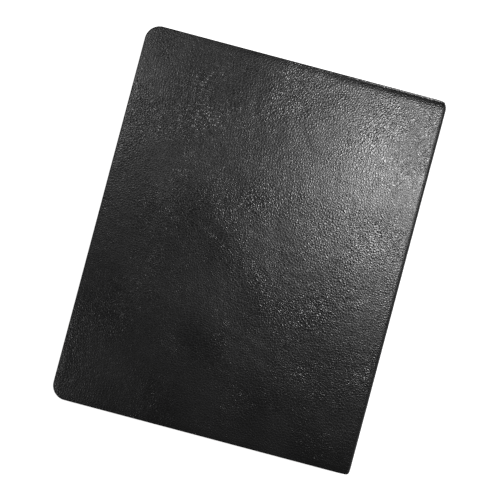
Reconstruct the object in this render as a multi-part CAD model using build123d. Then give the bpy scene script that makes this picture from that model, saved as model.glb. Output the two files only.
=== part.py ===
"""Leather-covered notebook with a flexible cover and a sewn block of 13 sections.

Frame: millimetres. The closed notebook lies flat on its lower cover. +Z is up through
its thickness, +Y runs towards the head, +X towards the spine. The origin is the centre
of the lower face. Pieces are modelled in the lower half and mirrored into the upper.

The leather is turned in over the head, tail and fore edges of two thin cover boards,
wraps round the spine, and is lined with pastedowns. The spine strip folds out flat on
the table as the notebook opens in its middle, and the upper cover also opens alone.
"""
from build123d import *
import os
from math import cos, radians, sin

os.makedirs("parts", exist_ok=True)

# ---- driving dimensions ----
WIDTH = 203.8            # fore edge to spine, closed
HEIGHT = 254.0           # head to tail

# Cover
R_COVER = 10.0           # fore-edge corners
T_LEATHER = 0.9
T_BOARD = 0.7            # flexible cover board
T_TURN = 0.4             # skived turn-in, and the infill card level with it
T_PASTE = 0.2            # pastedown
W_TURN = 13.0            # width of the turn-in
R_WINDOW = 1.0           # corners of the opening inside the turn-in
WALL = 0.5               # leather at the turned edge, beside the board
R_EDGE_OUT = 0.85        # rounding of the turned edge, outside
R_EDGE_IN = 0.35         # rounding of the turned edge, inside
BOARD_SETBACK = 1.0      # board and infill end, short of the roll
PASTE_INSET = 0.5        # pastedown inside the page outline and short of the roll

# Spine
T_SPINE_BOARD = 0.5
SPINE_BOARD_GAP = 0.5    # spine board to turn-in, at head and tail
R_SPINE_END = 0.6        # rounding of the spine leather at head and tail
R_ROLL = 3.2             # leather roll from a cover into the spine, outside
ROLL_SHORT = 0.5         # roll ends short of head and tail
ROLL_GAP = 0.05          # top of the cover's part of the roll, below the pastedown face
JOINT_ANGLE = 89.6       # degrees of roll in the upper joint, just short of the cover
BEND_ANGLE = 60          # degrees of roll on each side of the spine strip
Z_STRIP = 2.6            # the spine strip starts here, so that it can fold out

# Text block
SECTIONS = 13            # of eight leaves; the seventh is halved at its middle opening
PITCH = 0.90             # section to section
T_SECTION = 0.89
T_FLY = 0.2
SQUARE = 3.0             # cover overhang at head, tail and fore edge
R_PAGE = 8.0             # fore-edge corners of the pages
GAP_COVER = 0.05         # pastedown to flyleaf
GAP_FLY = 0.02           # flyleaf to first section
FLY_SETBACK = 0.4        # flyleaf short of the section backs
MID_ALLOWANCE = 0.03     # added below the middle opening
GAP_MID = 0.02           # half section to the middle opening
BACK_FLAT = 0.02         # section's half thickness less its back rounding
HALF_BACK_FLAT = 0.05    # the same for a half section

# Backing of the sections
T_THREAD = 0.35          # sewing thread on the section backs
W_THREAD = 0.8
STATION_PITCH = 36.0     # seven sewing stations, the fourth at mid-height
T_GAUZE = 0.2
GAUZE_H = 224.0
T_LINING = 0.15
LINING_INSET = 2.0       # lining short of the pages at head and tail
HOLLOW = 0.5             # spine lining to spine board
BACKING_START = 0.05     # backing above the flyleaf's lower face
GAP_BACKING = 0.04       # backing to the middle opening

# Headband and tailband
R_BEAD = 0.6
BEAD_GAP = 0.02          # bead to the page edges
TAB_GAP = 0.02           # tab to the section backs
TAB_H = 9.0              # tab down the backs, from the page edges

# Modelling aids
TOL = 0.01               # edge selection
PAST = 1.0               # cutting and clipping boxes run past the piece
POCKET_PAST = 5.0        # cover cutters run past the flat's spine end
WINDOW_OVERLAP = 0.1     # window cutter reaches into the board pocket
WEDGE_SIDE = 10.0        # sides and tip of the wedge that cuts a roll
WEDGE_TIP = 12.0

# ---- derived levels ----
HALF_H = HEIGHT / 2
HALF_PAGE = HALF_H - SQUARE

X_SPINE = WIDTH / 2                       # outer face of the spine
X_FORE = -WIDTH / 2
X_PAGE = X_FORE + SQUARE
X_FLAT = X_SPINE - R_ROLL                 # covers are flat up to here
X_LEATHER_IN = X_SPINE - T_LEATHER
X_SPINE_IN = X_LEATHER_IN - T_SPINE_BOARD
X_BACK_OUT = X_SPINE_IN - HOLLOW          # outer face of the spine lining
X_LINING = X_BACK_OUT - T_LINING          # inner faces of lining and gauze
X_GAUZE = X_LINING - T_GAUZE
X_BACK = X_GAUZE - T_THREAD               # backs of the sections

Z_BOARD = T_LEATHER                       # lower faces of board, infill and pastedown
Z_INFILL = Z_BOARD + T_BOARD
Z_PASTE = Z_INFILL + T_TURN
T_COVER = Z_PASTE + T_PASTE
Z_FLY = T_COVER + GAP_COVER
Z_SECTIONS = Z_FLY + T_FLY + GAP_FLY
Z_MID = Z_SECTIONS + PITCH * SECTIONS / 2 + MID_ALLOWANCE
Z_BACKING = (Z_FLY + BACKING_START, Z_MID - GAP_BACKING)
Z_SPINE = (R_ROLL, 2 * Z_MID - R_ROLL)    # flat part of the spine


# ---- helpers ----
def box(x_min, x_max, y_min, y_max, z_min, z_max):
    centre = ((x_min + x_max) / 2, (y_min + y_max) / 2, (z_min + z_max) / 2)
    return Box(x_max - x_min, y_max - y_min, z_max - z_min).located(Location(centre))


def sheet(x_min, x_max, half_y, z_min, z_max, radius):
    """A flat sheet whose two fore-edge corners are rounded."""
    slab = box(x_min, x_max, -half_y, half_y, z_min, z_max)
    corners = slab.edges().filter_by(Axis.Z).filter_by_position(
        Axis.X, x_min - TOL, x_min + TOL)
    return fillet(corners, radius)


def flip(shape):
    """The same piece for the upper half."""
    return mirror(shape, about=Plane.XY.offset(Z_MID))


def to_tail(shape):
    """The same piece at the tail."""
    return mirror(shape, about=Plane.XZ)


def save(name, *solids):
    shape = solids[0] if len(solids) == 1 else Compound(children=list(solids))
    export_step(shape, f"parts/{name}.step")


def save_pair(pattern, *solids):
    """Save a piece and its upper twin; {} in the pattern becomes lower or upper."""
    save(pattern.format("lower"), *solids)
    save(pattern.format("upper"), *[flip(solid) for solid in solids])


# ---- cover and spine leather ----
def round_rim(cover, z, radius):
    """Round the edges at height z, except the one at the spine end."""
    rim = cover.edges().filter_by_position(Axis.Z, z - TOL, z + TOL)
    return fillet([e for e in rim if (e @ 0.5).X < X_FLAT - TOL], radius)


def cover_leather():
    """Leather of the lower cover, with the board pocket and the turn-in's window."""
    cover = sheet(X_FORE, X_FLAT, HALF_H, 0, Z_PASTE, R_COVER)
    cover = round_rim(cover, 0, R_EDGE_OUT)
    cover = round_rim(cover, Z_PASTE, R_EDGE_IN)
    pocket = sheet(X_FORE + WALL, X_FLAT + POCKET_PAST, HALF_H - WALL,
                   Z_BOARD, Z_INFILL, R_COVER - WALL)
    window = sheet(X_FORE + W_TURN, X_FLAT + POCKET_PAST, HALF_H - W_TURN,
                   Z_INFILL - WINDOW_OVERLAP, Z_PASTE + PAST, R_WINDOW)
    return cover - pocket - window


def ray(length, angle):
    """Point at an angle in degrees from +X down towards -Z."""
    return (length * cos(radians(angle)), 0, -length * sin(radians(angle)))


def roll(angle):
    """Leather round the lower spine edge, from +X down through the angle."""
    ring = Cylinder(R_ROLL, HEIGHT - 2 * ROLL_SHORT) - Cylinder(R_ROLL - T_LEATHER, HEIGHT)
    ring = ring.rotate(Axis.X, 90)
    wedge = make_face(Polyline(
        (0, 0, 0), ray(WEDGE_SIDE, 0), ray(WEDGE_TIP, angle / 2),
        ray(WEDGE_SIDE, angle), (0, 0, 0)))
    wedge = extrude(wedge, amount=HEIGHT, dir=(0, 1, 0)).moved(Location((0, -HALF_H, 0)))
    return (ring & wedge).moved(Location((X_FLAT, 0, R_ROLL)))


def joint(angle):
    """The cover's part of the roll, kept low so that the pages can lie over it."""
    return roll(angle) & box(X_FLAT - PAST, X_SPINE + PAST, -HALF_H, HALF_H,
                             -PAST, T_COVER - ROLL_GAP)


def spine_leather():
    """Spine strip, turned in at head and tail, with a bend along each side."""
    spine = box(X_LEATHER_IN, X_SPINE, -HALF_H, HALF_H, *Z_SPINE)
    flap = box(X_SPINE_IN, X_LEATHER_IN, HALF_H - W_TURN, HALF_H, *Z_SPINE)
    bend = roll(BEND_ANGLE) & box(X_FLAT, X_SPINE + PAST, -HALF_H, HALF_H,
                                  Z_STRIP, R_ROLL + PAST)
    spine = spine + flap + to_tail(flap)
    ends = [e for e in spine.edges().filter_by(Axis.Z)
            if abs(abs((e @ 0.5).Y) - HALF_H) < TOL]
    return fillet(ends, R_SPINE_END) + bend + flip(bend)


save("lower_cover_leather", cover_leather() + joint(90))
save("upper_cover_leather", flip(cover_leather()))
save("upper_joint_leather", flip(joint(JOINT_ANGLE)))
save("spine_leather", spine_leather())

# ---- boards, infill, pastedowns ----
half_spine_board = HALF_H - W_TURN - SPINE_BOARD_GAP
save("spine_board", box(X_SPINE_IN, X_LEATHER_IN, -half_spine_board, half_spine_board,
                        *Z_SPINE))
x_board_end = X_FLAT - BOARD_SETBACK
save_pair("{}_cover_board", sheet(
    X_FORE + WALL, x_board_end, HALF_H - WALL, Z_BOARD, Z_INFILL, R_COVER - WALL))
save_pair("{}_cover_infill", sheet(
    X_FORE + W_TURN, x_board_end, HALF_H - W_TURN, Z_INFILL, Z_PASTE, R_WINDOW))
save_pair("{}_pastedown", sheet(
    X_PAGE + PASTE_INSET, X_FLAT - PASTE_INSET, HALF_PAGE - PASTE_INSET,
    Z_PASTE, T_COVER, R_PAGE - PASTE_INSET))


# ---- text block ----
def section(z_min, z_max, z_round, radius):
    """Leaves with their back edges rounded, up to height z_round."""
    leaves = sheet(X_PAGE, X_BACK, HALF_PAGE, z_min, z_max, R_PAGE)
    back = [e for e in leaves.edges().filter_by(Axis.Y)
            if (e @ 0.5).X > X_BACK - TOL and (e @ 0.5).Z < z_round + TOL]
    return fillet(back, radius)


save_pair("{}_flyleaf", sheet(
    X_PAGE, X_BACK - FLY_SETBACK, HALF_PAGE, Z_FLY, Z_FLY + T_FLY, R_PAGE))

z_first = Z_SECTIONS + (PITCH - T_SECTION) / 2
for i in range(SECTIONS // 2):
    z = z_first + PITCH * i
    whole = section(z, z + T_SECTION, z + T_SECTION, T_SECTION / 2 - BACK_FLAT)
    save(f"section_{i + 1:02d}", whole)
    save(f"section_{SECTIONS - i:02d}", flip(whole))

z = z_first + PITCH * (SECTIONS // 2)
save_pair("section_07_{}_half", section(
    z, Z_MID - GAP_MID, z, T_SECTION / 2 - HALF_BACK_FLAT))

# ---- backing: thread, gauze and lining, each split at the middle opening ----
stations = [STATION_PITCH * i for i in range(-3, 4)]
save_pair("sewing_thread_{}", *[
    box(X_BACK, X_GAUZE, y - W_THREAD / 2, y + W_THREAD / 2, *Z_BACKING) for y in stations])
save_pair("spine_gauze_{}", box(X_GAUZE, X_LINING, -GAUZE_H / 2, GAUZE_H / 2, *Z_BACKING))
half_lining = HALF_PAGE - LINING_INSET
save_pair("spine_lining_{}", box(X_LINING, X_BACK_OUT, -half_lining, half_lining, *Z_BACKING))


def headband():
    """Bead beyond the head of the pages, on a tab against the gauze."""
    z_min, z_max = Z_BACKING
    bead = Cylinder(R_BEAD, z_max - z_min).moved(
        Location((X_GAUZE - R_BEAD, HALF_PAGE + R_BEAD + BEAD_GAP, (z_min + z_max) / 2)))
    tab = box(X_BACK + TAB_GAP, X_GAUZE, HALF_PAGE - TAB_H, HALF_PAGE + R_BEAD, z_min, z_max)
    return bead + tab


save_pair("headband_{}", headband())
save_pair("tailband_{}", to_tail(headband()))
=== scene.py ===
# A black leather notebook, closed, lying flat on its lower cover. The spine faces +X, the fore
# edge -X, the head +Y and the tail -Y; the underside of the lower cover is at z = 0. Shapes are
# worked out in mm and turned into metres as each mesh is made.
import math

import bpy
import numpy as np
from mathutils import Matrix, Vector


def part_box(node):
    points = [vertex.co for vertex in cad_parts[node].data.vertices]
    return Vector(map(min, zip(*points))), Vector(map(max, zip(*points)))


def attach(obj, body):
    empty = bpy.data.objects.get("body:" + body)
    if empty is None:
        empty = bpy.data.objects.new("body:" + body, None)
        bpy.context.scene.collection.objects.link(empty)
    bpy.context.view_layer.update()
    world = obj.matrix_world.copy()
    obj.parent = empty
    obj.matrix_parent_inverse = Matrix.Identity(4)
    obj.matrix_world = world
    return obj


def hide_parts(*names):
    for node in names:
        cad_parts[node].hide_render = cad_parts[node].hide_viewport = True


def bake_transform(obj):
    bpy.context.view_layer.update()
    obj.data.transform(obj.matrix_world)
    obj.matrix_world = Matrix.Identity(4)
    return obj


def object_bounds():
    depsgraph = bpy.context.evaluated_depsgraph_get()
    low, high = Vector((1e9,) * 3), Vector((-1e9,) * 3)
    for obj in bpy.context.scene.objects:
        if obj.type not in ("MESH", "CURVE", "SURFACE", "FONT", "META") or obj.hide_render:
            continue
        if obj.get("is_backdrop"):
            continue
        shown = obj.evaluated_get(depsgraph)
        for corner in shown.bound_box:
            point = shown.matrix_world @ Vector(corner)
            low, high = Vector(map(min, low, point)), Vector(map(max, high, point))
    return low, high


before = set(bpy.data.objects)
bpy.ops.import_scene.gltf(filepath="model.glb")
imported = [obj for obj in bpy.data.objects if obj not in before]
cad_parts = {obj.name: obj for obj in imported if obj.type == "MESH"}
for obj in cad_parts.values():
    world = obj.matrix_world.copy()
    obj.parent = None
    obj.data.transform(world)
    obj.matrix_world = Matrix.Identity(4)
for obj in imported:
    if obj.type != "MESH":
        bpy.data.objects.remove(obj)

MM = 0.001


def box_mm(name):
    """Lowest and highest corner of a CAD piece, in mm."""
    return [[v / MM for v in corner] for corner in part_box(name)]


# ------------------------------------------------------------------ sizes, from the frame
lo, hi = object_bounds()
HALF_H = (hi.y - lo.y) / MM / 2
THICK = (hi.z - lo.z) / MM
MID_Z = THICK / 2
SPINE_X, FORE_X = hi.x / MM, lo.x / MM
CORNER_R = 10.0                          # fore-edge corners of the covers
ROLL_R = 3.2                             # roll from the covers into the spine
FLAT_X = SPINE_X - ROLL_R                # covers are flat up to here
(PAGE_X, _, _), (BACK_X, PAGE_HALF, _) = box_mm("section_01")
PAGE_R = 8.0                             # fore-edge corners of the leaves
PASTE_R = 7.5                            # and of the pastedowns
BACK_PITCH = 0.9                         # ripple over the section backs


# ------------------------------------------------------------------ shaping functions
def smoothstep(start, end, x):
    t = np.clip((np.asarray(x, float) - start) / (end - start), 0, 1)
    return t * t * (3 - 2 * t)


_noise_rng = np.random.default_rng(11)
LATTICE = 512
SHUFFLE = _noise_rng.permutation(LATTICE)
ANGLES = _noise_rng.uniform(0, 2 * math.pi, LATTICE)


def noise(x, y, seed):
    """Smooth gradient noise round 0, with its own pattern for each seed."""
    col, row = np.floor(x).astype(int), np.floor(y).astype(int)
    x, y = x - col, y - row
    ease_x, ease_y = (t * t * t * (t * (t * 6 - 15) + 10) for t in (x, y))

    def corner(i, j):
        """What the slope at one corner of the cell adds here."""
        shuffled = SHUFFLE[(col + i + seed * 37) % LATTICE]
        angle = ANGLES[SHUFFLE[(shuffled + row + j) % LATTICE]]
        return np.cos(angle) * (x - i) + np.sin(angle) * (y - j)
    near = corner(0, 0) * (1 - ease_x) + corner(1, 0) * ease_x
    far = corner(0, 1) * (1 - ease_x) + corner(1, 1) * ease_x
    return 1.5 * (near * (1 - ease_y) + far * ease_y)


# ------------------------------------------------------------------ mesh helpers
def grid_quads(grid):
    """Quads of a grid of point numbers."""
    corners = [grid[:-1, :-1], grid[:-1, 1:], grid[1:, 1:], grid[1:, :-1]]
    return np.stack(corners, -1).reshape(-1, 4)


def boundary(grid):
    """Point numbers round a grid's boundary, from its first point."""
    return np.concatenate([grid[:, 0], grid[-1, 1:], grid[-2::-1, -1], grid[0, -2:0:-1]])


def band(ring, next_ring):
    """Quads that join two closed rings of point numbers."""
    return np.stack([ring, np.roll(ring, -1), np.roll(next_ring, -1), next_ring], -1).tolist()


def loft_faces(rings, points):
    """Faces of a closed solid made of rings in a row, its two end caps last."""
    first = np.arange(points)
    faces = []
    for i in range(rings - 1):
        faces += band(first + i * points, first + (i + 1) * points)
    return faces + [first[::-1].tolist(), (first + (rings - 1) * points).tolist()]


def merge(parts):
    """Joins a list of (verts, faces) into one."""
    all_faces, count = [], 0
    for verts, faces in parts:
        all_faces += [[i + count for i in face] for face in faces]
        count += len(verts)
    return np.concatenate([verts for verts, _ in parts]), all_faces


def store_pattern(mesh, places):
    """Stores each point's place in the material's pattern, in mm."""
    attribute = mesh.attributes.new("hide_co", "FLOAT_VECTOR", "POINT")
    attribute.data.foreach_set("vector", np.asarray(places, np.float32).ravel())


def make(name, verts, faces, material, smooth=True):
    mesh = bpy.data.meshes.new(name)
    mesh.from_pydata((np.asarray(verts, float) * MM).tolist(), [], faces)
    mesh.polygons.foreach_set("use_smooth", [smooth] * len(mesh.polygons))
    mesh.materials.append(material)
    mesh.update()
    obj = bpy.data.objects.new(name, mesh)
    bpy.context.scene.collection.objects.link(obj)
    return obj


def piece(name, solid, material, slot, replaces, ride=None, blend=None, smooth=False):
    """Makes a piece of the book from (verts, faces). Its pattern keeps to its rest shape."""
    obj = make(name, *solid, material, smooth)
    rest = np.zeros(len(obj.data.vertices) * 3, np.float32)
    obj.data.vertices.foreach_get("co", rest)
    store_pattern(obj.data, rest / MM)
    if ride:
        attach(obj, ride)
    if blend:
        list(blend)
        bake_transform(obj)
    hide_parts(*replaces)
    return obj


def point_xz(x, z):
    """A point at y = 0, in metres."""
    return (x * MM, 0, z * MM)


def split_at_middle(reach):
    """Names the lower and upper halves of the text block, with points reach mm below and above the
    middle.
    """
    return "lower_cover", "text_upper", point_xz(0, MID_Z - reach), point_xz(0, MID_Z + reach)


# ------------------------------------------------------------------ node helpers
class Graph:
    """A node tree. An input takes a plain value or the output socket of another node."""

    def __init__(self, owner):
        owner.use_nodes = True
        self.tree = owner.node_tree
        self.tree.nodes.clear()

    def put(self, socket, value):
        if hasattr(value, "is_output"):
            self.tree.links.new(value, socket)
        else:
            socket.default_value = value

    def node(self, kind, inputs=(), **props):
        node = self.tree.nodes.new(kind)
        for key, value in props.items():
            setattr(node, key, value)
        for key, value in dict(inputs).items():
            self.put(node.inputs[key], value)
        return node


class Material(Graph):
    """A material with one Principled BSDF."""

    def __init__(self, name):
        self.material = bpy.data.materials.new(name)
        super().__init__(self.material)
        output = self.node("ShaderNodeOutputMaterial")
        self.bsdf = self.node("ShaderNodeBsdfPrincipled")
        self.put(output.inputs[0], self.bsdf.outputs[0])

    def math(self, operation, first, second=0.0):
        inputs = {0: first, 1: second, 2: 0.0}
        return self.node("ShaderNodeMath", inputs, operation=operation).outputs[0]

    def add(self, first, second):
        return self.math("ADD", first, second)

    def mul(self, first, second):
        return self.math("MULTIPLY", first, second)

    def vec(self, operation, first, second=(0, 0, 0), scale=None):
        inputs = {0: first, 1: second}
        if scale is not None:
            inputs[3] = scale
        return self.node("ShaderNodeVectorMath", inputs, operation=operation).outputs[0]

    def ramp(self, value, start, end, low=0.0, high=1.0, kind="SMOOTHSTEP"):
        inputs = {0: value, 1: start, 2: end, 3: low, 4: high}
        return self.node("ShaderNodeMapRange", inputs, interpolation_type=kind).outputs[0]

    def noise(self, place, scale, detail=2.0, rough=0.5, output="Fac"):
        inputs = {"Vector": place, "Scale": scale, "Detail": detail, "Roughness": rough}
        return self.node("ShaderNodeTexNoise", inputs).outputs[output]

    def mix(self, factor, first, second):
        inputs = {0: factor, 6: first, 7: second}
        return self.node("ShaderNodeMix", inputs, data_type="RGBA").outputs[2]

    def bump(self, height, depth_mm):
        inputs = {"Height": height, "Distance": depth_mm * MM, "Strength": 1.0}
        return self.node("ShaderNodeBump", inputs).outputs[0]

    def pattern_place(self):
        """The stored pattern place, in mm."""
        return self.node("ShaderNodeAttribute", attribute_name="hide_co",
                         attribute_type="GEOMETRY").outputs["Vector"]

    def set(self, **inputs):
        for key, value in inputs.items():
            self.put(self.bsdf.inputs[key.replace("_", " ")], value)
        return self.material


# ------------------------------------------------------------------ the leather hide
# The hide is one skin, laid out flat in (run, y): run goes from the lower fore edge, over the
# lower cover, round the spine and over the upper cover to its fore edge. Depth is measured below
# the outer face. place() folds it up, and it is cut into pieces only where two bodies meet.
ARC = math.pi / 2 * ROLL_R
LOW_ROLL0 = FLAT_X - FORE_X              # lower roll, start and end
LOW_ROLL1 = LOW_ROLL0 + ARC
UP_ROLL0 = LOW_ROLL1 + THICK - 2 * ROLL_R    # upper roll, start and end
UP_ROLL1 = UP_ROLL0 + ARC
RUN_END = UP_ROLL1 + LOW_ROLL0
RUN_MID = (LOW_ROLL1 + UP_ROLL0) / 2

EDGE_R = 0.9                             # rounding of the outer edge; the grid stops here
GRID_STEP = 0.86
CORNER_STEPS = 14
ROLL_STEPS = 14
JOINT_W = 3.2                            # finer columns beside each roll

# end (head +1, tail -1), pull in x, in y and in z, reach in y
PINCHES = ((1, 1.4, 0.75, 0.50, 3.8), (-1, 0.6, 0.25, 0.2, 2.8))


def place(run, y, depth):
    """Folds points of the flat hide into (x, y, z)."""
    run, y, depth = np.broadcast_arrays(*(np.asarray(v, float) for v in (run, y, depth)))
    # turn-ins are pared thin where the hide folds into the spine
    fold = np.maximum(1 - smoothstep(0, 2.5, np.maximum(LOW_ROLL0 - run, run - LOW_ROLL1)),
                      1 - smoothstep(0, 2.5, np.maximum(UP_ROLL0 - run, run - UP_ROLL1)))
    depth = depth - 0.32 * fold * smoothstep(0.95, 1.25, depth)
    # lower cover, lower roll, spine, upper roll, and last the upper cover
    zones = [run <= end for end in (LOW_ROLL0, LOW_ROLL1, UP_ROLL0, UP_ROLL1)]
    low, up = (run - LOW_ROLL0) / ROLL_R, (run - UP_ROLL0) / ROLL_R
    x = np.select(zones, [FORE_X + run, FLAT_X + ROLL_R * np.sin(low), SPINE_X,
                          FLAT_X + ROLL_R * np.cos(up)], FLAT_X - (run - UP_ROLL1))
    z = np.select(zones, [0, ROLL_R - ROLL_R * np.cos(low), ROLL_R + run - LOW_ROLL1,
                          THICK - ROLL_R + ROLL_R * np.sin(up)], THICK)
    normal_x = np.select(zones, [0, np.sin(low), 1, np.cos(up)], 0)
    normal_z = np.select(zones, [-1, -np.cos(low), 0, np.sin(up)], 1)
    points = np.stack([x - depth * normal_x, y, z - depth * normal_z], -1)
    # the spine ends are pinched in: deep at the head, slight at the tail
    for end, pull_x, pull_y, pull_z, reach in PINCHES:
        near_end = np.clip((end * y - (HALF_H - reach)) / reach, 0, 1) ** 2
        near_spine = np.clip((points[..., 0] - (SPINE_X - 8.5)) / 8.5, 0, 1) ** 2
        from_mid = np.clip((points[..., 2] - MID_Z) / MID_Z, -1, 1)
        on_roll = np.clip((points[..., 0] - (FLAT_X - 1.5)) / (ROLL_R + 1.5), 0, 1) ** 1.5
        points[..., 0] -= pull_x * near_end * on_roll
        points[..., 2] -= pull_z * near_end * near_spine * from_mid
        points[..., 1] -= end * pull_y * near_spine * np.clip((end * y - (HALF_H - 9)) / 9, 0, 1)
    return points


def relief(run, y):
    """Height of the outer face over its nominal plane, away from the edges."""
    warp_run, warp_y = noise(run / 31, y / 31, 1), noise(run / 31 + 9, y / 31, 2)
    # swells, from broad to small
    height = 0.085 * noise(run / 62, y / 62, 3)
    height = height + 0.045 * noise(run / 21 + warp_run, y / 21 + warp_y, 4)
    height += 0.020 * noise(run / 8 + 1.6 * warp_run, y / 10 + 1.6 * warp_y, 5)
    # long wrinkles, and finer ones in patches
    ridge = 1 - np.abs(noise(run / 13 + 2 * warp_run, y / 19 + 2 * warp_y, 6)) * 2.2
    height -= 0.020 * smoothstep(0.72, 1.0, ridge)
    ridge = 1 - np.abs(noise(run / 5.1 + 2.6 * warp_run, y / 6.3 + 2.6 * warp_y, 7)) * 2.0
    patch = smoothstep(-0.15, 0.5, noise(run / 40, y / 40, 8))
    height -= 0.014 * smoothstep(0.6, 1.0, ridge) * patch
    # creases worn along the spine, where the covers bend: a sharp one, deeper toward the
    # tail, and a soft one further out
    for start, side in ((UP_ROLL1, 1), (LOW_ROLL0, -1)):
        away = side * (run - start)
        level = y * 0 + start
        sharp = np.exp(-((away - 1.1 + 0.25 * noise(y / 17, level, 9)) / 0.38) ** 2)
        height -= 0.05 * sharp * (0.35 + 0.65 * smoothstep(10, -70, y))
        soft = np.exp(-((away - 5.5 + 0.5 * noise(y / 23, level, 10)) / 0.9) ** 2)
        height -= 0.018 * soft
    return height


def droop(run, y):
    """The hide droops over the head, most near the spine, where it was pulled into the cap."""
    from_roll = np.minimum(np.abs(run - UP_ROLL1), np.abs(run - LOW_ROLL0))
    from_head = HALF_H - y
    reach = 7.0 + 1.5 * noise(run / 24, run * 0 + 3, 11)
    near = 0.46 * smoothstep(95, 25, from_roll) * np.clip(1 - from_head / reach, 0, 1) ** 2
    wide = 0.14 * smoothstep(185, 120, from_roll) * np.clip(1 - from_head / 3.6, 0, 1) ** 2
    return near + wide


def even_steps(start, end):
    return np.linspace(start, end, len(np.arange(start, end, GRID_STEP)))


def hide_lines():
    """Grid lines of the flat hide: places in run, symmetric about the spine, and in y."""
    joint = LOW_ROLL0 - JOINT_W
    run = np.concatenate([np.linspace(EDGE_R, CORNER_R, CORNER_STEPS + 1)[:-1],
                          even_steps(CORNER_R, joint)[:-1],
                          np.linspace(joint, LOW_ROLL0, 11)[:-1],
                          np.linspace(LOW_ROLL0, LOW_ROLL1, ROLL_STEPS + 1)[:-1],
                          np.linspace(LOW_ROLL1, RUN_MID, 8)])
    run = np.concatenate([run, (RUN_END - run[:-1])[::-1]])
    corner = HALF_H - CORNER_R
    y = np.concatenate([np.linspace(-HALF_H + EDGE_R, -corner, CORNER_STEPS + 1)[:-1],
                        even_steps(-HALF_H + CORNER_R, corner),
                        np.linspace(corner, HALF_H - EDGE_R, CORNER_STEPS + 1)[1:]])
    return run, y


def round_corners(run, y):
    """Turns the grid's square corner blocks into quarter discs."""
    run, y = run.copy(), y.copy()
    for side_run, centre_run in ((-1, CORNER_R), (1, RUN_END - CORNER_R)):
        for side_y, centre_y in ((-1, -HALF_H + CORNER_R), (1, HALF_H - CORNER_R)):
            out_run, out_y = (run - centre_run) * side_run, (y - centre_y) * side_y
            block = (out_run > 1e-9) & (out_y > 1e-9)
            out_run, out_y = out_run[block], out_y[block]
            shrink = np.maximum(out_run, out_y) / np.hypot(out_run, out_y)
            run[block] = centre_run + side_run * out_run * shrink
            y[block] = centre_y + side_y * out_y * shrink
    return run, y


class Outline:
    """The grid's boundary: tail edge, upper fore edge, head edge, lower fore edge."""
    MIN_R = 1.2                          # least corner radius of an inner ring
    SQUEEZE = 60                         # straight sides shift within this of a corner

    def __init__(self, run, y):
        self.run, self.y = run, y
        self.lower, self.tail = run < RUN_END / 2, y < 0
        by_fore = (run < CORNER_R - 1e-9) | (run > RUN_END - CORNER_R + 1e-9)
        self.corner = by_fore & (np.abs(y) > HALF_H - CORNER_R + 1e-9)
        centre_run, centre_y = self.centres(CORNER_R)
        out_run, out_y = (run - centre_run) * self.corner, (y - centre_y) * self.corner
        length = np.where(self.corner, np.hypot(out_run, out_y), 1)
        self.out_run, self.out_y = out_run / length, out_y / length
        ends = ~self.corner & (np.abs(np.abs(y) - (HALF_H - EDGE_R)) < 1e-6)
        self.fore = ~self.corner & ~ends
        self.fore_in = np.where(self.fore, np.where(self.lower, 1, -1), 0)
        self.end_out = np.where(ends, np.sign(y), 0)

    def centres(self, centre):
        """Corner centres, this far in from both edges."""
        return (np.where(self.lower, centre, RUN_END - centre),
                np.where(self.tail, -HALF_H + centre, HALF_H - centre))

    def points(self, inset, radius, centre, run, y):
        """Sides at the inset and corners about their centres; the rest is run and y."""
        centre_run, centre_y = self.centres(centre)
        run = np.where(self.fore, np.where(self.lower, inset, RUN_END - inset), run)
        y = np.where(self.end_out != 0, self.end_out * (HALF_H - inset), y)
        return (np.where(self.corner, centre_run + self.out_run * radius, run),
                np.where(self.corner, centre_y + self.out_y * radius, y))

    def ring(self, inset):
        """The outline, moved in from the hide's edge."""
        radius = max(CORNER_R - inset, self.MIN_R)
        centre = inset + radius
        run, y = self.run, self.y

        def squeeze(value, end, side):
            """Makes the straight sides start where the corner ends."""
            away = side * (end - value)
            ratio_in = (away - CORNER_R) * (self.SQUEEZE - centre) / (self.SQUEEZE - CORNER_R)
            return end - side * np.where(away < self.SQUEEZE, centre + ratio_in, away)
        if centre > CORNER_R:
            run = np.where(self.lower, squeeze(run, 0, -1), squeeze(run, RUN_END, 1))
            y = np.where(self.tail, squeeze(y, -HALF_H, -1), squeeze(y, HALF_H, 1))
        return self.points(inset, radius, centre, run, y)

    def pattern(self, outward):
        """Pattern places, carried on outward past the turned edge."""
        inset = EDGE_R - outward
        return self.points(inset, CORNER_R - inset, CORNER_R, self.run, self.y)


def edge_profile():
    """Rings from the grid round the edge and in: inset, depth on covers and on spine, relief."""
    rings = []
    for k in range(1, 7):
        angle = k / 6 * math.pi / 2
        depth = EDGE_R - EDGE_R * math.cos(angle)
        rings.append((EDGE_R - EDGE_R * math.sin(angle), depth, depth, 1 - k / 6))
    rings += [(0.0, 1.3, 0.98, 0), (0.0, 1.65, 1.05, 0)]
    for k in range(1, 5):
        angle = k / 4 * math.pi / 2
        deeper = 0.35 * math.sin(angle)
        rings.append((0.35 - 0.35 * math.cos(angle), 1.65 + deeper, 1.05 + deeper, 0))
    return rings + [
        (1.0, 2.0, 1.4, 0), (2.2, 2.0, 1.4, 0), (4.0, 2.0, 1.4, 0), (6.0, 2.0, 1.4, 0),
        (8.0, 2.0, 1.4, 0), (10.0, 1.99, 1.4, 0), (11.6, 1.98, 1.39, 0), (12.5, 1.93, 1.35, 0),
        (12.9, 1.82, 1.25, 0), (13.0, 1.66, 1.0, 0), (12.5, 1.61, 0.96, 0),
        (0.55, 1.61, 0.96, 0), (0.55, 0.90, 0.90, 0)]


TURN_IN_RINGS = range(12, 20)            # the face of the turn-in
CUT_EDGE_RINGS = range(19, 24)           # its cut edge and back


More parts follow.
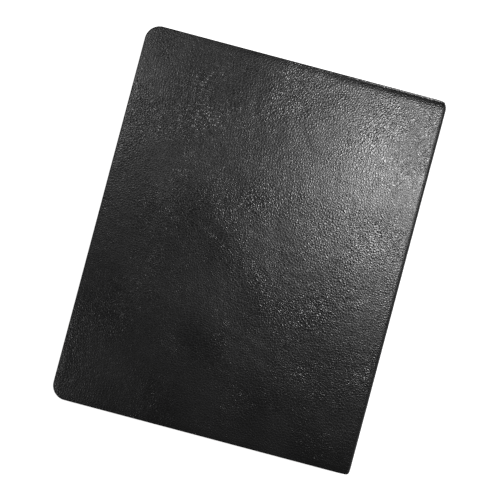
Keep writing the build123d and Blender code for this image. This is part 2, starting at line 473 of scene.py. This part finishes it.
def edge_rings(outline, edge_height):
    """(places, pattern) of each ring of the turned edge."""
    run, y = outline.run, outline.y
    on_spine = (smoothstep(LOW_ROLL0 - 1.6, LOW_ROLL0 + 1.4, run)
                * smoothstep(RUN_END - LOW_ROLL0 + 1.6, RUN_END - LOW_ROLL0 - 1.4, run))
    corner_angle = np.arctan2(np.abs(outline.out_y), np.abs(outline.out_run))
    pleat = np.where(outline.corner, np.sin(corner_angle * 14), 0)
    outward, last_inset, last_depth = 0.0, EDGE_R, 0.0
    rings = []
    for k, (inset, cover_depth, spine_depth, share) in enumerate(edge_profile()):
        ring_run, ring_y = outline.ring(inset)
        depth = cover_depth * (1 - on_spine) + spine_depth * on_spine - edge_height * share
        if k in TURN_IN_RINGS:           # a little uneven, pleated at the corners
            depth = depth + 0.035 * noise(run / 9, y / 9 + inset / 9, 12) - 0.02
            depth = depth - 0.09 * pleat * (inset < 9)
        if k in CUT_EDGE_RINGS:          # wanders a little
            wander = 0.35 * noise(run / 14, y / 14, 13)
            ring_run = ring_run + outline.fore_in * wander
            ring_y = ring_y - outline.end_out * wander
        outward += math.hypot(inset - last_inset, cover_depth - last_depth)
        last_inset, last_depth = inset, cover_depth
        layer = np.full(len(run), float(k + 1))
        rings.append((place(ring_run, ring_y, depth),
                      np.stack([*outline.pattern(outward), layer], -1)))
    return rings


def build_hide():
    """The closed skin: verts, pattern, faces, the run of each face's middle, the columns,
    and a function that gives the closed section at a column."""
    columns, rows = hide_lines()
    n_cols, n_rows = len(columns), len(rows)
    flat_run, flat_y = np.meshgrid(columns, rows, indexing="ij")
    run, y = round_corners(flat_run, flat_y)
    from_edge = np.minimum.reduce([run, RUN_END - run, HALF_H - np.abs(y)])
    height = relief(run, y) * smoothstep(0.2, 6.0, from_edge)
    height = height - 0.10 * (1 - smoothstep(0.5, 5.0, from_edge)) - droop(run, y)
    verts = [place(run, y, -height).reshape(-1, 3)]
    pattern = [np.stack([run, y, 0 * run], -1).reshape(-1, 3)]

    count = n_cols * n_rows
    grid = np.arange(count).reshape(n_cols, n_rows)
    edge = boundary(grid)
    edge_run = flat_run.reshape(-1)[edge]
    outline = Outline(edge_run, flat_y.reshape(-1)[edge])
    faces = grid_quads(grid).tolist()
    face_run = np.repeat((columns[:-1] + columns[1:]) / 2, n_rows - 1).tolist()
    previous, rings = edge, []
    for ring_verts, ring_pattern in edge_rings(outline, height.reshape(-1)[edge]):
        verts.append(ring_verts)
        pattern.append(ring_pattern)
        ring = count + np.arange(len(edge))
        count += len(edge)
        faces += band(previous, ring)
        face_run += ((edge_run + np.roll(edge_run, -1)) / 2).tolist()
        rings.append(ring)
        previous = ring

    def head_at(j):
        """Place in a ring of column j's head point; its tail point is at j."""
        return 2 * n_cols + n_rows - 3 - j

    # the flesh side: strips from tail to head, and one face at each fore edge
    last = rings[-1].tolist()
    first_cut, last_cut = CORNER_STEPS // 2, n_cols - 1 - CORNER_STEPS // 2
    for j in range(first_cut, last_cut):
        faces.append([last[j], last[j + 1], last[head_at(j + 1)], last[head_at(j)]])
        face_run.append((columns[j] + columns[j + 1]) / 2)
    faces.append(last[last_cut:head_at(last_cut) + 1])
    face_run.append(RUN_END - 1.0)
    faces.append(last[head_at(first_cut):] + last[:first_cut + 1])
    face_run.append(1.0)

    def section_at(j):
        heads = [int(ring[head_at(j)]) for ring in rings]
        tails = [int(ring[j]) for ring in rings]
        return grid[j, :].tolist() + heads + tails[::-1]
    return (np.concatenate(verts), np.concatenate(pattern), faces, np.array(face_run),
            columns, section_at)


# ------------------------------------------------------------------ materials
GRAIN_DEPTH = 0.053
# successive warps of the leather pattern: noise scale, reach in mm
LEATHER_WARPS = ((0.035, 7.0), (0.17, 1.6), (0.8, 0.26))


def leather():
    mat = Material("black_leather")
    flat = mat.vec("MULTIPLY", mat.pattern_place(), (1, 1, 0))
    warped = [flat]
    for scale, reach in LEATHER_WARPS:
        colour = mat.noise(warped[-1], scale=scale, detail=0.0, output="Color")
        shift = mat.vec("SUBTRACT", colour, (0.5, 0.5, 0.5))
        warped.append(mat.vec("ADD", warped[-1], mat.vec("SCALE", shift, scale=reach)))
    _, broad, medium, close = warped

    def shifted(place_, x, y):
        return mat.vec("ADD", place_, (x, y, 0))

    def cells(place_, scale, width, squash=(1, 1, 1)):
        """0 on the lines between cells, rising to 1 within the width."""
        voronoi = mat.node("ShaderNodeTexVoronoi",
                           {"Vector": mat.vec("MULTIPLY", place_, squash), "Scale": scale,
                            "Randomness": 1.0},
                           feature="DISTANCE_TO_EDGE", voronoi_dimensions="2D")
        return mat.ramp(voronoi.outputs["Distance"], start=0.0, end=width)
    patch = mat.ramp(mat.noise(broad, scale=0.022), start=0.42, end=0.62)
    patch2 = mat.ramp(mat.noise(shifted(broad, 70, 20), scale=0.030), start=0.45, end=0.62)
    # pebbles, creases round groups of them, and folds drawn out along y and along run
    fine = cells(close, scale=0.62, width=0.50)
    wide = cells(shifted(close, 31, 17), scale=0.24, width=0.12)
    lean = cells(shifted(medium, 9, 3), scale=0.80, width=0.45, squash=(1.0, 0.50, 1))
    lean2 = cells(shifted(medium, 5, 33), scale=0.80, width=0.45, squash=(0.48, 1.0, 1))
    micro = mat.noise(close, scale=0.85, detail=1.0)
    swell = mat.noise(medium, scale=0.30, detail=1.0)
    # each layer's share of the grain's height
    fine_share, lean_share, wide_share, swell_share, micro_share = 0.80, 0.60, 0.08, 0.12, 0.8
    pebble = mat.add(mat.mul(fine, fine_share),
                     mat.add(mat.mul(mat.mul(lean, patch), lean_share),
                             mat.mul(mat.mul(lean2, patch2), lean_share)))
    height = mat.add(pebble, mat.mul(wide, wide_share))
    height = mat.add(height, mat.mul(swell, swell_share))
    height = mat.add(height, mat.mul(micro, micro_share))
    normal = mat.bump(height, depth_mm=GRAIN_DEPTH)
    # worn a little shinier on the pebble tops, dull in the creases
    top = mat.ramp(pebble, start=0.15, end=1.0)
    cloud = mat.noise(flat, scale=0.018, detail=3.0)
    rough = mat.add(mat.ramp(top, start=0, end=1, low=0.31, high=0.21),
                    mat.ramp(cloud, start=0.3, end=0.7, low=-0.03, high=0.03))
    # base colour darker in the creases and lighter on the pebble tops: painted shade in the
    # creases; the cloud adds a tone that differs at random
    crease_shade_colour, top_colour = (0.0060, 0.0060, 0.0063, 1), (0.0130, 0.0128, 0.0128, 1)
    tone = mat.mix(mat.mul(top, mat.ramp(cloud, start=0.3, end=0.7, low=0.7, high=1.0)),
                   crease_shade_colour, top_colour)
    return mat.set(Base_Color=tone, Roughness=rough, Normal=normal, Specular_IOR_Level=0.5)


def paper(name, dark, light, fibre=0.012):
    """Uncoated paper: cloudy, with fibres, and a tone that differs a little by leaf."""
    mat = Material(name)
    co = mat.pattern_place()
    cloud = mat.noise(co, scale=0.16, detail=4.0, rough=0.6)
    grit = mat.noise(co, scale=2.4, detail=3.0, rough=0.7)
    shift = mat.vec("SCALE", mat.noise(co, scale=0.8, detail=1.0, output="Color"), scale=3.0)
    hair = mat.noise(mat.vec("ADD", co, shift), scale=5.0, rough=0.6)
    leaf = mat.node("ShaderNodeNewGeometry").outputs["Random Per Island"]
    factor = mat.add(mat.mul(cloud, 0.55), mat.mul(grit, 0.35))
    leaf_tone = mat.ramp(leaf, start=0, end=1, low=-0.22, high=0.22, kind="LINEAR")
    factor = mat.add(factor, leaf_tone)
    tone = mat.mix(mat.ramp(factor, start=0.1, end=0.85, kind="LINEAR"), dark, light)
    height = mat.add(mat.mul(grit, 0.6), mat.mul(hair, 0.8))
    return mat.set(Base_Color=tone, Roughness=0.85, Specular_IOR_Level=0.25,
                   Normal=mat.bump(height, depth_mm=fibre))


def cloth(name, dark, light, pitch, stripe_pitch=None, stripe_colour=None):
    """A plain weave, threads along y and across, with optional stripes across."""
    mat = Material(name)
    co = mat.pattern_place()
    x, y, z = mat.node("ShaderNodeSeparateXYZ", {0: co}).outputs
    wobble = mat.mul(mat.noise(co, scale=0.9), 0.6)
    turns = 2 * math.pi / pitch
    along = mat.math("SINE", mat.mul(mat.add(y, wobble), turns))
    across = mat.math("SINE", mat.mul(mat.add(mat.add(z, x), wobble), turns))
    weave = mat.mul(along, across)
    height = mat.math("MAXIMUM", mat.math("ABSOLUTE", along), mat.math("ABSOLUTE", across))
    factor = mat.add(mat.mul(weave, 0.35), mat.noise(co, scale=1.3, detail=3.0))
    tone = mat.mix(mat.ramp(factor, start=0.2, end=0.9), dark, light)
    if stripe_pitch:
        wave = mat.math("SINE", mat.mul(mat.add(z, 0.0), 2 * math.pi / stripe_pitch))
        tone = mat.mix(mat.ramp(wave, start=-0.15, end=0.15), tone, stripe_colour)
    return mat.set(Base_Color=tone, Roughness=0.9, Specular_IOR_Level=0.2, Sheen_Weight=0.25,
                   Normal=mat.bump(height, depth_mm=0.05))


def card(name, dark, light):
    mat = Material(name)
    co = mat.node("ShaderNodeTexCoord").outputs["Object"]
    fleck = mat.noise(co, scale=900.0, detail=4.0, rough=0.7)
    cloud = mat.noise(co, scale=120.0, detail=3.0, rough=0.6)
    factor = mat.add(mat.mul(fleck, 0.6), mat.mul(cloud, 0.5))
    tone = mat.mix(mat.ramp(factor, start=0.35, end=0.8), dark, light)
    return mat.set(Base_Color=tone, Roughness=0.9, Specular_IOR_Level=0.2,
                   Normal=mat.bump(fleck, depth_mm=0.04))


LEATHER = leather()
PAGE = paper("page_paper", dark=(0.60, 0.54, 0.42, 1), light=(0.80, 0.75, 0.63, 1))
ENDS = paper("end_paper", dark=(0.52, 0.48, 0.39, 1), light=(0.70, 0.66, 0.56, 1), fibre=0.02)
KRAFT = paper("kraft_paper", dark=(0.26, 0.17, 0.09, 1), light=(0.42, 0.30, 0.18, 1), fibre=0.03)
CARD = card("grey_card", dark=(0.22, 0.19, 0.15, 1), light=(0.40, 0.36, 0.30, 1))
MULL = cloth("mull", dark=(0.50, 0.47, 0.40, 1), light=(0.72, 0.69, 0.61, 1), pitch=0.9)
BAND = cloth("band_cloth", dark=(0.55, 0.52, 0.45, 1), light=(0.72, 0.69, 0.60, 1), pitch=0.5,
             stripe_pitch=2.0, stripe_colour=(0.012, 0.012, 0.013, 1))
LINEN = cloth("linen_thread", dark=(0.55, 0.51, 0.42, 1), light=(0.75, 0.71, 0.61, 1), pitch=0.25)


# ------------------------------------------------------------------ sheets
def corner_columns(fore_x, radius=PAGE_R):
    """Places in x that follow a rounded fore-edge corner."""
    return fore_x + radius - radius * np.cos(np.linspace(0, math.pi / 2, 11))


def flat_line(xs, z):
    return np.stack(np.broadcast_arrays(xs, z), -1)


def sheet_solid(outer, inner, fore_x, half=PAGE_HALF, radius=PAGE_R):
    """A thin sheet between two matched lines in (x, z), with rounded fore-edge corners."""
    count = len(outer)
    verts, faces = [], []
    for line in (outer, inner):
        into = np.clip(radius - (line[:, 0] - fore_x), 0, radius)
        edge_y = half - radius + np.sqrt(np.maximum(radius * radius - into * into, 0))
        for side in (-1, 1):
            verts.append(np.stack([line[:, 0], side * edge_y, line[:, 1]], -1))

    def at(i):
        """Outer tail, outer head, inner tail and inner head point."""
        return [i, count + i, 2 * count + i, 3 * count + i]
    for i in range(count - 1):
        (tail, head, in_tail, in_head), (tail2, head2, in_tail2, in_head2) = at(i), at(i + 1)
        faces += [[tail, head, head2, tail2], [in_tail, in_tail2, in_head2, in_head],
                  [tail, tail2, in_tail2, in_tail], [head, in_head, in_head2, head2]]
    for i, order in ((0, 1), (count - 1, -1)):
        tail, head, in_tail, in_head = at(i)
        faces.append([tail, in_tail, in_head, head][::order])
    return np.concatenate(verts), faces


def folded_sheet(mid_z, apart, thick, fold_x, low_fore, high_fore):
    """One sheet folded at the back: two leaves joined by a round fold."""
    middles = [-60.0, 0.0, 60.0, fold_x - 12, fold_x - 4]
    low_xs = np.concatenate([corner_columns(low_fore), middles])
    high_xs = np.concatenate([corner_columns(high_fore), middles])[::-1]
    angles = np.linspace(-math.pi / 2, math.pi / 2, 10)

    def line(radius):
        fold = [(fold_x + radius * math.cos(t), mid_z + radius * math.sin(t)) for t in angles]
        return np.array([(x, mid_z - radius) for x in low_xs] + fold
                        + [(x, mid_z + radius) for x in high_xs])
    outer_r, inner_r = apart / 2 + thick / 2, max(apart / 2 - thick / 2, 0.004)
    return sheet_solid(line(outer_r), line(inner_r), min(low_fore, high_fore))


leaf_rng = np.random.default_rng(5)


def section(mid_z, pitch, inmost_thick, ragged, most_ragged, y_shift):
    """Four folded sheets, one in another; thicknesses are shares of the leaf pitch."""
    sheets = []
    for k in range(4):
        thick = pitch * (0.90 if k else inmost_thick)
        fores = PAGE_X + 0.09 + leaf_rng.normal(0, ragged, 2).clip(-most_ragged, most_ragged)
        verts, faces = folded_sheet(mid_z, (2 * k + 1) * pitch, thick, BACK_X - 4 * pitch, *fores)
        if y_shift:
            verts[:, 1] += leaf_rng.normal(0, y_shift)
        sheets.append((verts, faces))
    return merge(sheets)


def sections():
    for name in sorted(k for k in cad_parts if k.startswith("section_") and "half" not in k):
        (_, _, z0), (_, _, z1) = box_mm(name)
        mid_z = (z0 + z1) / 2
        solid = section(mid_z, (z1 - z0) / 8, inmost_thick=0.90, ragged=0.035,
                        most_ragged=0.08, y_shift=0.03)
        piece(name + "_leaves", solid, PAGE, "page_paper", [name],
              ride="lower_cover" if mid_z < MID_Z else "text_upper")
    # the middle section is one piece folded at its centre: each sheet has one leaf on each half
    halves = ["section_07_lower_half", "section_07_upper_half"]
    z0 = box_mm(halves[0])[0][2]
    solid = section(MID_Z, (MID_Z - z0) / 4, inmost_thick=0.72, ragged=0.03,
                    most_ragged=0.06, y_shift=0)
    piece("section_07_leaves", solid, PAGE, "page_paper", halves, blend=split_at_middle(0.0012))


def flyleaves():
    """One leaf each, on the block."""
    fore_x = PAGE_X + 0.04
    for name, body in (("lower_flyleaf", "lower_cover"), ("upper_flyleaf", "text_upper")):
        (_, _, z0), (x1, _, z1) = box_mm(name)
        xs = np.concatenate([corner_columns(fore_x), [-60, 0, 60, x1 - 9, x1 - 6, x1 - 3, x1]])
        solid = sheet_solid(flat_line(xs, z0), flat_line(xs, z1), fore_x)
        piece(name + "_sheet", solid, ENDS, "endpaper", [name], ride=body)


def pastedowns():
    """Glued to the covers and carried on to the joint; the upper is the lower one mirrored."""
    for name, upper in (("lower_pastedown", False), ("upper_pastedown", True)):
        (x0, _, z0), (_, half, z1) = box_mm(name)
        if upper:
            z0, z1 = THICK - z1, THICK - z0
        xs = np.concatenate([corner_columns(x0, PASTE_R),
                             [-60, 0, 60, FLAT_X - 12, FLAT_X - 6, FLAT_X - 3],
                             np.linspace(FLAT_X - 2.2, FLAT_X + 0.55, 12)])
        # a little thinner at the joint
        glued = np.where(xs > FLAT_X - 0.9, z0 + 0.02, z0)
        verts, faces = sheet_solid(flat_line(xs, glued), flat_line(xs, z1), x0, half, PASTE_R)
        if upper:
            verts[:, 2] = THICK - verts[:, 2]
            faces = [face[::-1] for face in faces]
            motion = {"blend": ("upper_joint", "upper_cover", point_xz(FLAT_X + 0.6, THICK),
                                point_xz(FLAT_X - 0.9, THICK))}
        else:
            motion = {"ride": "lower_cover"}
        piece(name + "_sheet", (verts, faces), ENDS, "endpaper", [name], **motion)


# ------------------------------------------------------------------ back of the text block
def spine_linings():
    """Gauze, then kraft paper, over the rounded backs of the sections."""
    low_z, high_z = box_mm("spine_gauze_lower")[0][2], box_mm("spine_gauze_upper")[1][2]
    zs = np.concatenate([np.linspace(low_z, MID_Z - 0.4, 16),
                         np.linspace(MID_Z - 0.3, MID_Z + 0.3, 9),
                         np.linspace(MID_Z + 0.4, high_z, 16)])
    for kind, material, slot, half, ragged in (("gauze", MULL, "gauze", 112.0, 0.25),
                                               ("lining", KRAFT, "kraft", PAGE_HALF - 2, 0.15)):
        (x0, _, _), (x1, _, _) = box_mm(f"spine_{kind}_lower")
        x0, x1 = x0 + 0.01, x1 - 0.01
        z, y = np.meshgrid(zs, np.linspace(-half, half, 141), indexing="ij")
        if kind == "gauze":
            dip = 0.045 * np.abs(np.sin((z - low_z) / BACK_PITCH * math.pi))
        else:
            dip = 0.03 * (1 + noise(z / 3, y / 9, 21))
        hem = ragged * noise(z / 0.8, z * 0 + 3.3, 22)
        y = y + np.where(np.abs(y) > half - 2, np.sign(y) * hem, 0)
        outside = np.stack([x1 - dip * 0.6, y, z], -1).reshape(-1, 3)
        inside = np.stack([np.full(z.shape, x0), y, z], -1).reshape(-1, 3)
        grid = np.arange(z.size).reshape(z.shape)
        quads, rim = grid_quads(grid), boundary(grid)
        faces = quads[:, ::-1].tolist() + (quads + z.size).tolist() + band(rim, rim + z.size)
        piece(f"spine_{kind}_strip", (np.concatenate([inside, outside]), faces), material, slot,
              [f"spine_{kind}_lower", f"spine_{kind}_upper"], blend=split_at_middle(0.3),
              smooth=True)


def cord(path, radius, segments):
    """A round cord along a path that doesn't run along x, closed at both ends."""
    heading = np.gradient(path, axis=0)
    heading /= np.linalg.norm(heading, axis=1)[:, None]
    verts = []
    for point, forward in zip(path, heading):
        side = np.cross(forward, np.array([1.0, 0, 0]))
        side = side / np.linalg.norm(side)
        up = np.cross(side, forward)
        for k in range(segments):
            angle = 2 * math.pi * k / segments
            verts.append(point + radius * (math.cos(angle) * side + math.sin(angle) * up))
    return np.array(verts), loft_faces(len(path), segments)


def threads():
    """Pairs of linen threads over the section backs, at seven stations along y."""
    for half, body in (("lower", "lower_cover"), ("upper", "text_upper")):
        name = f"sewing_thread_{half}"
        (x0, _, z0), (x1, _, z1) = box_mm(name)
        z = np.linspace(z0 + 0.15, z1 - 0.15, 25)
        phase = (z - z0) / BACK_PITCH
        x = (x0 + x1) / 2 + 0.03 * np.cos(phase * 2 * math.pi)
        cords = []
        for station in range(-3, 4):
            for strand in (-1, 1):
                y = station * 36.0 + 0.22 * strand * np.cos(phase * math.pi)
                cords.append(cord(np.stack([x, y, z], -1), radius=0.13, segments=7))
        piece(name + "_strands", merge(cords), LINEN, "thread", [name], ride=body, smooth=True)


def band_outline(back_x, inner_y, end_y):
    """Section of a headband in (x, y): cloth folded over a cord, with two tails."""
    cord_r = 0.6
    cord_x, cord_y = back_x - cord_r, end_y - cord_r
    angles = np.linspace(math.radians(-62), math.radians(205), 20)
    return np.array(
        [(back_x, inner_y), (back_x, inner_y + 3), (back_x, cord_y - 1.2)]
        + [(cord_x + cord_r * math.cos(t), cord_y + cord_r * math.sin(t)) for t in angles]
        + [(cord_x + 0.25, cord_y - cord_r * 0.75), (back_x - 0.22, cord_y - 1.4),
           (back_x - 0.2, inner_y + 3), (back_x - 0.18, inner_y)])


def headbands():
    """Glued to the section backs at head and tail."""
    for end, side in (("headband", 1), ("tailband", -1)):
        for half, body in (("lower", "lower_cover"), ("upper", "text_upper")):
            name = f"{end}_{half}"
            (_, y0, z0), (back_x, y1, z1) = box_mm(name)
            if half == "upper":
                z1 -= 0.8                # clear of the cap when the notebook lies open
            inner_y, end_y = (y0, y1) if side > 0 else (-y1, -y0)
            outline = band_outline(back_x, inner_y, end_y)
            zs = np.linspace(z0, z1, 30)
            verts = []
            for z in zs:
                bulge = 1 + 0.035 * np.sin(z * 2 * math.pi / BACK_PITCH)
                x = (back_x - (back_x - outline[:, 0]) * bulge).clip(None, back_x)
                verts.append(np.stack([x, side * outline[:, 1], np.full(len(x), z)], -1))
            faces = [face[::side] for face in loft_faces(len(zs), len(outline))]
            obj = piece(name + "_cloth", (np.concatenate(verts), faces), BAND, "headband",
                        [name], ride=body, smooth=True)
            for cap in (len(faces) - 2, len(faces) - 1):
                obj.data.polygons[cap].use_smooth = False


def boards():
    """The CAD boards stay as they are, in grey card."""
    for name in ("lower_cover_board", "upper_cover_board", "lower_cover_infill",
                 "upper_cover_infill", "spine_board"):
        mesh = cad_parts[name].data
        mesh.materials.clear()
        mesh.materials.append(CARD)


# ------------------------------------------------------------------ hide pieces
def whole_normals(verts, faces):
    """Point normals of the uncut hide, so that no seam shows where it is cut."""
    whole = make("whole_hide", verts, faces, LEATHER)
    mesh = whole.data
    normals = np.zeros(len(verts) * 3, np.float32)
    mesh.vertices.foreach_get("normal", normals)
    bpy.data.objects.remove(whole)
    bpy.data.meshes.remove(mesh)
    return normals.reshape(-1, 3)


def set_normals(mesh, normals, n_skin):
    """Gives the skin the whole hide's normals, and the caps after it flat ones."""
    corners = np.zeros(len(mesh.loops), np.int32)
    mesh.loops.foreach_get("vertex_index", corners)
    corner_normals = normals[corners]
    for i in range(n_skin, len(mesh.polygons)):
        cap = mesh.polygons[i]
        corner_normals[list(cap.loop_indices)] = cap.normal[:]
        cap.use_smooth = False
    mesh.normals_split_custom_set(corner_normals.tolist())


def hide_pieces():
    verts, pattern, faces, face_run, columns, section_at = build_hide()
    normals = whole_normals(verts, faces)
    spine_cut = int(np.argmin(np.abs(columns - RUN_MID)))
    roll_cut = int(np.argmin(np.abs(columns - (UP_ROLL0 + ARC * 12 / ROLL_STEPS))))
    on_roll_x, on_roll_z = FLAT_X + 0.75, 0.09     # where the covers start to bend
    # name, first and last cut column, blend, CAD pieces replaced
    cuts = (
        ("leather_lower", None, spine_cut,
         ("lower_cover", "spine", point_xz(on_roll_x, on_roll_z), point_xz(SPINE_X, ROLL_R)),
         ["lower_cover_leather"]),
        ("leather_spine", spine_cut, roll_cut,
         ("spine", "upper_joint", point_xz(SPINE_X, THICK - ROLL_R),
          point_xz(on_roll_x, THICK - on_roll_z)),
         ["spine_leather", "upper_joint_leather"]),
        ("leather_upper", roll_cut, None,
         ("upper_joint", "upper_cover", point_xz(FLAT_X + 0.7, THICK),
          point_xz(FLAT_X - 0.7, THICK)),
         ["upper_cover_leather"]))
    for name, first, last, blend, replaces in cuts:
        start = -math.inf if first is None else columns[first]
        end = math.inf if last is None else columns[last]
        kept = [faces[i] for i in np.nonzero((face_run > start) & (face_run < end))[0]]
        n_skin = len(kept)
        if first is not None:
            kept.append(section_at(first))
        if last is not None:
            kept.append(section_at(last)[::-1])
        used = sorted({i for face in kept for i in face})
        renumber = {old: new for new, old in enumerate(used)}
        kept = [[renumber[i] for i in face] for face in kept]
        obj = make(name, verts[used], kept, LEATHER)
        store_pattern(obj.data, pattern[used])
        set_normals(obj.data, normals[used], n_skin)
        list(blend)
        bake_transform(obj)
        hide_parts(*replaces)


sections()
flyleaves()
pastedowns()
spine_linings()
threads()
headbands()
boards()
hide_pieces()

# ------------------------------------------------------------------ floor, world, light, camera
FLOOR_HALF = 6000
FLOOR_DROP = 0.0003                      # metres below the notebook
AMBIENT = 0.004                          # world strength overhead
WALL = 0.30                              # and of the studio wall
# world strength by height of the direction: from, to, strength there; the two are multiplied
WORLD_RAMPS = ((0.0, 0.24, 0.12, 1.0), (0.34, 0.72, WALL, AMBIENT))
# name, position and aim in metres, size in x and y, watts
LIGHTS = [
    ("key", (0.27, 0.210, 1.0), (0, 0, 0), 0.26, 0.17, 4.6),
    ("fill_a", (-0.40, 0.25, 1.0), (0, 0, 0), 0.20, 0.20, 1.0),
    ("fill_b", (-0.48, -0.36, 1.0), (0, 0, 0), 0.20, 0.20, 0.55),
    ("side", (0.80, 0.22, 0.80), (0.1, 0, 0), 0.40, 0.40, 2.2),
]
CAMERA_Z = 0.60                          # metres
CAMERA_ROLL = math.radians(14.88)
CAMERA_RIGHT, CAMERA_UP = 0.630144, -0.433224    # mm off the origin, in the view's directions
VIEW_WIDTH = 328.2                       # mm across the view at the top cover
SENSOR = 36.0


def floor():
    mat = Material("floor_white")
    camera_ray = mat.node("ShaderNodeLightPath").outputs["Is Camera Ray"]
    mat.set(Base_Color=(0.8, 0.8, 0.8, 1), Roughness=0.9, Emission_Color=(1, 1, 1, 1),
            Emission_Strength=mat.mul(camera_ray, 0.9), Specular_IOR_Level=0.1)
    corners = [(x * FLOOR_HALF, y * FLOOR_HALF, 0) for x, y in ((-1, -1), (1, -1), (1, 1), (-1, 1))]
    obj = make("floor", corners, [[0, 1, 2, 3]], mat.material)
    obj.location.z = -FLOOR_DROP
    obj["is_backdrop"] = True


def studio_world():
    """White to the camera; to all else a dim band of studio wall under a dark ceiling."""
    world = bpy.data.worlds.new("studio")
    bpy.context.scene.world = world
    sky = Graph(world)
    world.cycles.sampling_method = "NONE"      # a smooth world needs no light samples
    direction = sky.node("ShaderNodeTexCoord").outputs["Generated"]
    up = sky.node("ShaderNodeSeparateXYZ", {0: direction}).outputs["Z"]
    level = None
    for start, end, low, high in WORLD_RAMPS:
        ramp = sky.node("ShaderNodeMapRange", {0: up, 1: start, 2: end, 3: low, 4: high},
                        interpolation_type="SMOOTHSTEP")
        product = sky.node("ShaderNodeMath", {0: ramp.outputs[0], 1: 1.0}, operation="MULTIPLY")
        if level:
            sky.put(product.inputs[1], level)
        level = product.outputs[0]
    white = (1, 1, 1, 1)
    studio = sky.node("ShaderNodeBackground", {0: white, 1: level})
    backdrop = sky.node("ShaderNodeBackground", {0: white, 1: 1.0})
    camera_ray = sky.node("ShaderNodeLightPath").outputs["Is Camera Ray"]
    mix = sky.node("ShaderNodeMixShader",
                   {0: camera_ray, 1: studio.outputs[0], 2: backdrop.outputs[0]})
    sky.node("ShaderNodeOutputWorld", {0: mix.outputs[0]})


def lights():
    for name, position, aim, size_x, size_y, watts in LIGHTS:
        light = bpy.data.lights.new(name, "AREA")
        light.shape = "ELLIPSE"
        light.size, light.size_y = size_x, size_y
        light.energy = watts
        obj = bpy.data.objects.new(name, light)
        obj.location = position
        toward = Vector(aim) - Vector(position)
        obj.rotation_euler = toward.to_track_quat("-Z", "Y").to_euler()
        obj.visible_camera = False
        bpy.context.scene.collection.objects.link(obj)


def camera():
    """Looks straight down."""
    data = bpy.data.cameras.new("camera")
    obj = bpy.data.objects.new("camera", data)
    bpy.context.scene.collection.objects.link(obj)
    obj.rotation_euler = (0, 0, CAMERA_ROLL)
    data.sensor_width = SENSOR
    data.lens = SENSOR / (VIEW_WIDTH * MM) * (CAMERA_Z - THICK * MM)
    right, up = CAMERA_RIGHT * MM, CAMERA_UP * MM
    obj.location = (right * math.cos(CAMERA_ROLL) - up * math.sin(CAMERA_ROLL),
                    right * math.sin(CAMERA_ROLL) + up * math.cos(CAMERA_ROLL), CAMERA_Z)
    data.clip_start, data.clip_end = 0.05, 50
    bpy.context.scene.camera = obj


# the grain is very fine, and a denoiser would smear it
bpy.context.scene.cycles.use_denoising = False
floor()
studio_world()
lights()
camera()
view = bpy.context.scene.view_settings
view.view_transform, view.look = "Standard", "None"
view.exposure, view.gamma = 0.0, 1.0

lo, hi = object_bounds()
